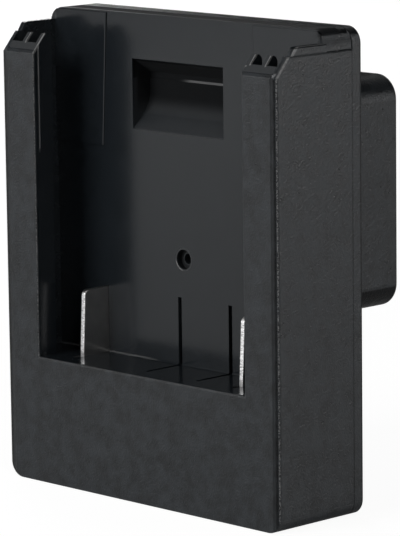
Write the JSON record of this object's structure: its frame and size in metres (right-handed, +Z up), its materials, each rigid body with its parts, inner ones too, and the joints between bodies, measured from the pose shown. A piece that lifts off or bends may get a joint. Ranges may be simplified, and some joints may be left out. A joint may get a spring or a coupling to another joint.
{
  "type": "tool battery adapter",
  "caption": "Slide-in adapter for a power-tool battery: a railed bay with blade contacts in front, a latch pocket above, and a rounded plug-in block on the back.",
  "frame": {"origin": "middle of the box that holds the adapter, on its bottom face", "axes": "+Z up along the battery's slide direction, +Y from the battery side to the back block, X across"},
  "size_m": [0.0808, 0.0398, 0.1],
  "materials": {
    "housing_plastic": "black glass-filled nylon, fine spark-eroded texture outside, smoother in the bay",
    "carrier_plastic": "black moulded plastic, smooth",
    "blade_metal": "tin-plated copper alloy, dull",
    "busbar_copper": "rolled copper strip",
    "clip_metal": "spring brass, bright",
    "board_green": "solder-masked glass-epoxy board",
    "screw_steel": "blackened zinc-plated steel",
    "fuse_body": "ceramic tube between plated caps",
    "chip_black": "moulded epoxy package with tinned legs",
    "shunt_metal": "bare resistance alloy",
    "ferrite_grey": "pressed ferrite, satin",
    "can_aluminium": "drawn aluminium can"
  },
  "bodies": {
    "root": {"front_housing": "housing_plastic", "rear_cover": "housing_plastic", "positive_blade": "blade_metal", "negative_blade": "blade_metal", "blade_carrier": "carrier_plastic", "carrier_screws": "screw_steel", "positive_busbar": "busbar_copper", "negative_busbar": "busbar_copper", "circuit_board": "board_green", "board_screws": "screw_steel", "fuse": "fuse_body", "power_transistors": "chip_black", "control_chip": "chip_black", "current_shunt": "shunt_metal", "inductor": "ferrite_grey", "filter_capacitors": "can_aluminium", "positive_output_clip": "clip_metal", "negative_output_clip": "clip_metal", "contact_block": "carrier_plastic", "housing_screws": "screw_steel"}
  },
  "joints": []
}
